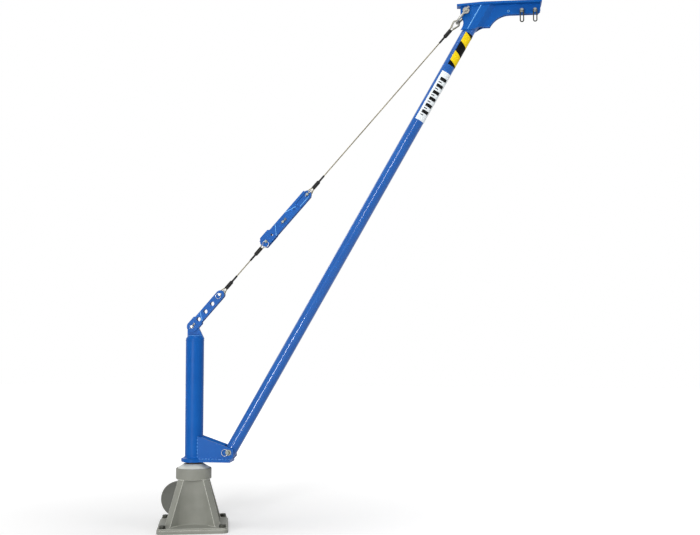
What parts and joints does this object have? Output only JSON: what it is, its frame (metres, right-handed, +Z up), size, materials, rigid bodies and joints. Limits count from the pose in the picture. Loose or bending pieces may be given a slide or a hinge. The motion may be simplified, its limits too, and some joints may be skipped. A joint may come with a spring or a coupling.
{
  "type": "davit crane",
  "caption": "Floor-mounted davit crane: mast slewing in a ribbed cast pedestal, raking tube jib with a pin-on hoist head, and a wire-rope tie with a length adjuster.",
  "frame": {"origin": "on the slewing axis, at the underside of the pedestal's base", "axes": "+Z up along the slewing axis; the jib lies over +X; +Y to the far side in the picture"},
  "size_m": [1.9094, 0.3978, 2.5509],
  "materials": {
    "pedestal_grey": "satin grey paint on a casting",
    "cap_grey": "matt dark grey paint",
    "bearing_bronze": "turned, oiled",
    "turned_steel": "turned, darkened by grease",
    "blue_paint": "semi-gloss blue powder coat",
    "rope_steel": "galvanised wire rope",
    "sleeve_black": "black heat-shrink sleeve",
    "zinc_steel": "bright zinc plate"
  },
  "bodies": {
    "pedestal": {"pedestal": "pedestal_grey", "upper_bush": "bearing_bronze", "lower_bush": "bearing_bronze", "thrust_washer": "bearing_bronze"},
    "cap": {"socket_cap": "cap_grey"},
    "mast": {"mast_spigot": "turned_steel", "foot_plate": "blue_paint", "mast_tube": "blue_paint", "mast_cap": "blue_paint", "mast_lug": "blue_paint", "gusset_near": "blue_paint", "gusset_far": "blue_paint", "jib_pivot_pin": "zinc_steel", "jib_pivot_washer": "zinc_steel"},
    "pivot_ring": {"jib_pivot_ring": "zinc_steel"},
    "jib": {"jib_sleeve": "blue_paint", "jib_tube": "blue_paint", "head_cheek_near": "blue_paint", "head_cheek_far": "blue_paint", "head_top_plate": "blue_paint", "head_spacer": "blue_paint"},
    "rear_hoist_pin": {"hoist_pin_rear": "zinc_steel"},
    "front_hoist_pin": {"hoist_pin_front": "zinc_steel"},
    "rear_pull_ring": {"hoist_ring_rear": "zinc_steel"},
    "front_pull_ring": {"hoist_ring_front": "zinc_steel"},
    "bail_shackle": {"bail": "zinc_steel", "bail_pin": "zinc_steel", "bail_cotter": "zinc_steel"},
    "link_pin_ring": {"link_ring": "zinc_steel"},
    "adjuster_pin_ring": {"adjuster_ring": "zinc_steel"},
    "upper_tie": {"upper_rope": "rope_steel", "upper_rope_thimble_low": "zinc_steel", "upper_rope_thimble_high": "zinc_steel", "upper_rope_sleeve_low": "sleeve_black", "upper_rope_sleeve_high": "sleeve_black", "adjuster_slide": "blue_paint", "adjuster_upper_pin": "zinc_steel", "adjuster_upper_cotter": "zinc_steel", "adjuster_upper_bush": "zinc_steel"},
    "lower_tie": {"link_plate_near": "blue_paint", "link_plate_far": "blue_paint", "link_pivot_pin": "zinc_steel", "link_pivot_cotter": "zinc_steel", "link_end_pin": "zinc_steel", "link_bush": "zinc_steel", "lower_rope": "rope_steel", "lower_rope_thimble_low": "zinc_steel", "lower_rope_thimble_high": "zinc_steel", "lower_rope_sleeve_low": "sleeve_black", "lower_rope_sleeve_high": "sleeve_black", "adjuster_channel": "blue_paint", "adjuster_doubler_near": "blue_paint", "adjuster_doubler_far": "blue_paint", "adjuster_lower_pin": "zinc_steel", "adjuster_lower_bush": "zinc_steel", "setting_pin": "zinc_steel", "setting_cotter": "zinc_steel"}
  },
  "joints": [
    {"name": "mast_slew", "type": "hinge", "parent": "pedestal", "child": "mast", "pos_m": [0, 0, 0], "axis": [0, 0, 1], "continuous": true},
    {"name": "jib_luff", "type": "hinge", "parent": "mast", "child": "jib", "pos_m": [0.183, 0, 0.371], "axis": [0, -1, 0], "range_deg": [0, 6.5]},
    {"name": "tie_swing", "type": "hinge", "parent": "mast", "child": "lower_tie", "pos_m": [-0.0115, 0, 0.982], "axis": [0, -1, 0], "range_deg": [0, 7.7]},
    {"name": "tie_shorten", "type": "slide", "parent": "lower_tie", "child": "upper_tie", "axis": [-0.6628, 0, -0.7488], "range_m": [0, 0.06]},
    {"name": "bail_swing", "type": "hinge", "parent": "jib", "child": "bail_shackle", "pos_m": [1.34444, 0, 2.51401], "axis": [0, -1, 0], "range_deg": [0, 1.2]},
    {"name": "rear_hoist_pin_pull", "type": "slide", "parent": "jib", "child": "rear_hoist_pin", "axis": [0, -1, 0], "range_m": [0, 0.0385]},
    {"name": "rear_pull_ring_swing", "type": "hinge", "parent": "rear_hoist_pin", "child": "rear_pull_ring", "pos_m": [1.61244, -0.0281, 2.50941], "axis": [-1, 0, 0], "range_deg": [0, 90]},
    {"name": "front_hoist_pin_pull", "type": "slide", "parent": "jib", "child": "front_hoist_pin", "axis": [0, -1, 0], "range_m": [0, 0.0385]},
    {"name": "front_pull_ring_swing", "type": "hinge", "parent": "front_hoist_pin", "child": "front_pull_ring", "pos_m": [1.67544, -0.0281, 2.50941], "axis": [-1, 0, 0], "range_deg": [0, 90]},
    {"name": "pivot_ring_swing", "type": "hinge", "parent": "mast", "child": "pivot_ring", "pos_m": [0.183, -0.0515, 0.371], "axis": [0, 0, 1], "range_deg": [0, 90]},
    {"name": "link_ring_swing", "type": "hinge", "parent": "lower_tie", "child": "link_pin_ring", "pos_m": [0.12834, -0.0215, 1.14], "axis": [-0.7488, 0, 0.6628], "range_deg": [0, 90]},
    {"name": "adjuster_ring_swing", "type": "hinge", "parent": "lower_tie", "child": "adjuster_pin_ring", "pos_m": [0.35898, -0.0268, 1.4006], "axis": [-1, 0, 0], "range_deg": [0, 90]},
    {"name": "cap_draw", "type": "slide", "parent": "pedestal", "child": "cap", "axis": [0, 1, 0], "range_m": [0, 0.2]}
  ],
  "couplings": [
    {"joint": "tie_swing", "follows": "jib_luff", "ratio": 1.1808},
    {"joint": "tie_shorten", "follows": "jib_luff", "m_per_rad": 0.52711},
    {"joint": "bail_swing", "follows": "jib_luff", "ratio": 0.18083}
  ]
}
